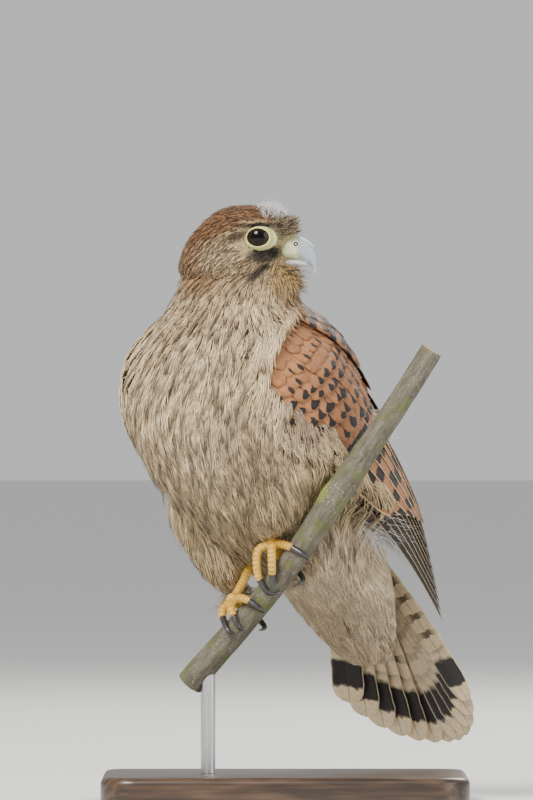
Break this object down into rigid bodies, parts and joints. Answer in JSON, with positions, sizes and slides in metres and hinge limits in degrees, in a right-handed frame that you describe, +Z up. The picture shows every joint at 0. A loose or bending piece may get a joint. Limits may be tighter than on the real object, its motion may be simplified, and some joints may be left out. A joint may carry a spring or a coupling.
{
  "type": "common kestrel",
  "caption": "Life-size still model of a juvenile common kestrel gripping a short steep branch, head turned to its left, on a plain rod and flat wooden base.",
  "frame": {"origin": "middle of the base's underside, on the surface that the stand rests on", "axes": "+Z up; the breast faces -Y and a little -X, the bill points to +X, and the tail hangs down towards +X and +Y"},
  "size_m": [0.1528, 0.1508, 0.2446],
  "materials": {
    "rufous_feathers": "rufous brown feathers with dark spots and bars",
    "buff_feathers": "buff body feathers with dark brown streaks",
    "flight_feathers": "barred tail feathers with a dark band and pale tips",
    "eye": "wet dark brown eye",
    "bill": "pale blue grey horn with a pale yellow cere",
    "leg_skin": "scaled yellow skin",
    "claw": "polished black horn",
    "bark": "grey brown bark with lichen",
    "base_wood": "dark stained satin wood",
    "rod_metal": "brushed steel"
  },
  "bodies": {
    "root": {"head": "rufous_feathers", "neck": "buff_feathers", "torso": "buff_feathers", "undertail_coverts": "buff_feathers", "thigh_left": "buff_feathers", "thigh_right": "buff_feathers", "wing_left": "rufous_feathers", "wing_right": "rufous_feathers", "tail": "flight_feathers", "eye_left": "eye", "eye_right": "eye", "bill_upper": "bill", "bill_lower": "bill", "foot_left": "leg_skin", "foot_right": "leg_skin", "claw_left_outer": "claw", "claw_left_middle": "claw", "claw_left_inner": "claw", "claw_left_hind": "claw", "claw_right_outer": "claw", "claw_right_middle": "claw", "claw_right_inner": "claw", "claw_right_hind": "claw", "perch_branch": "bark", "stand_base": "base_wood", "stand_rod": "rod_metal"}
  },
  "joints": []
}
